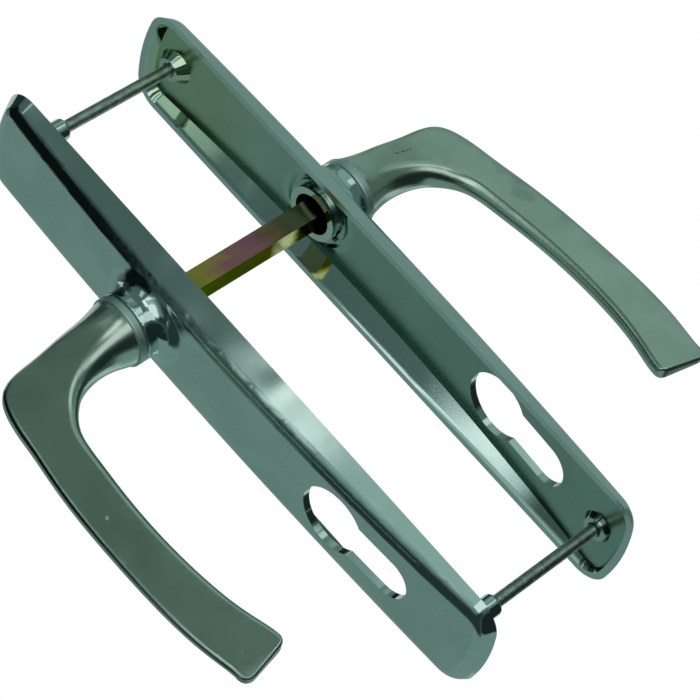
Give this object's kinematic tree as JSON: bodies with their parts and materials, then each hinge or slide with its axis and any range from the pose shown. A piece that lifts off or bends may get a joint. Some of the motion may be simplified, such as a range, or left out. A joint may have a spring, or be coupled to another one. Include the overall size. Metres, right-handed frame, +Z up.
{
  "type": "door handle set",
  "caption": "Lever handle set for a cylinder-lock door: hollow long plates with profile-cylinder cut-outs, curved levers on a square spindle, held together by through screws.",
  "frame": {"origin": "on the spindle axis, midway between the two plates", "axes": "+Z up the plates to the end nearer the spindle, +Y along the spindle from the front plate to the rear plate, +X across the plates"},
  "size_m": [0.035, 0.1632, 0.185],
  "materials": {
    "cast_satin": "satin die casting, cool green-grey cast",
    "lever_satin": "satin die casting, polished on its round parts",
    "yellow_zinc": "yellow passivated zinc with iridescent bands",
    "screw_zinc": "dull zinc plated thread",
    "spring_steel": "plain oiled steel"
  },
  "bodies": {
    "plates": {"front_plate": "cast_satin", "rear_plate": "cast_satin", "top_screw": "screw_zinc", "bottom_screw": "screw_zinc"},
    "handle": {"front_lever": "lever_satin", "rear_lever": "lever_satin", "spindle": "yellow_zinc", "front_clip": "spring_steel", "rear_clip": "spring_steel", "front_washer": "spring_steel", "rear_washer": "spring_steel"}
  },
  "joints": [
    {"name": "handle_turn", "type": "hinge", "parent": "plates", "child": "handle", "pos_m": [0, 0, 0], "axis": [0, 1, 0], "continuous": true}
  ]
}
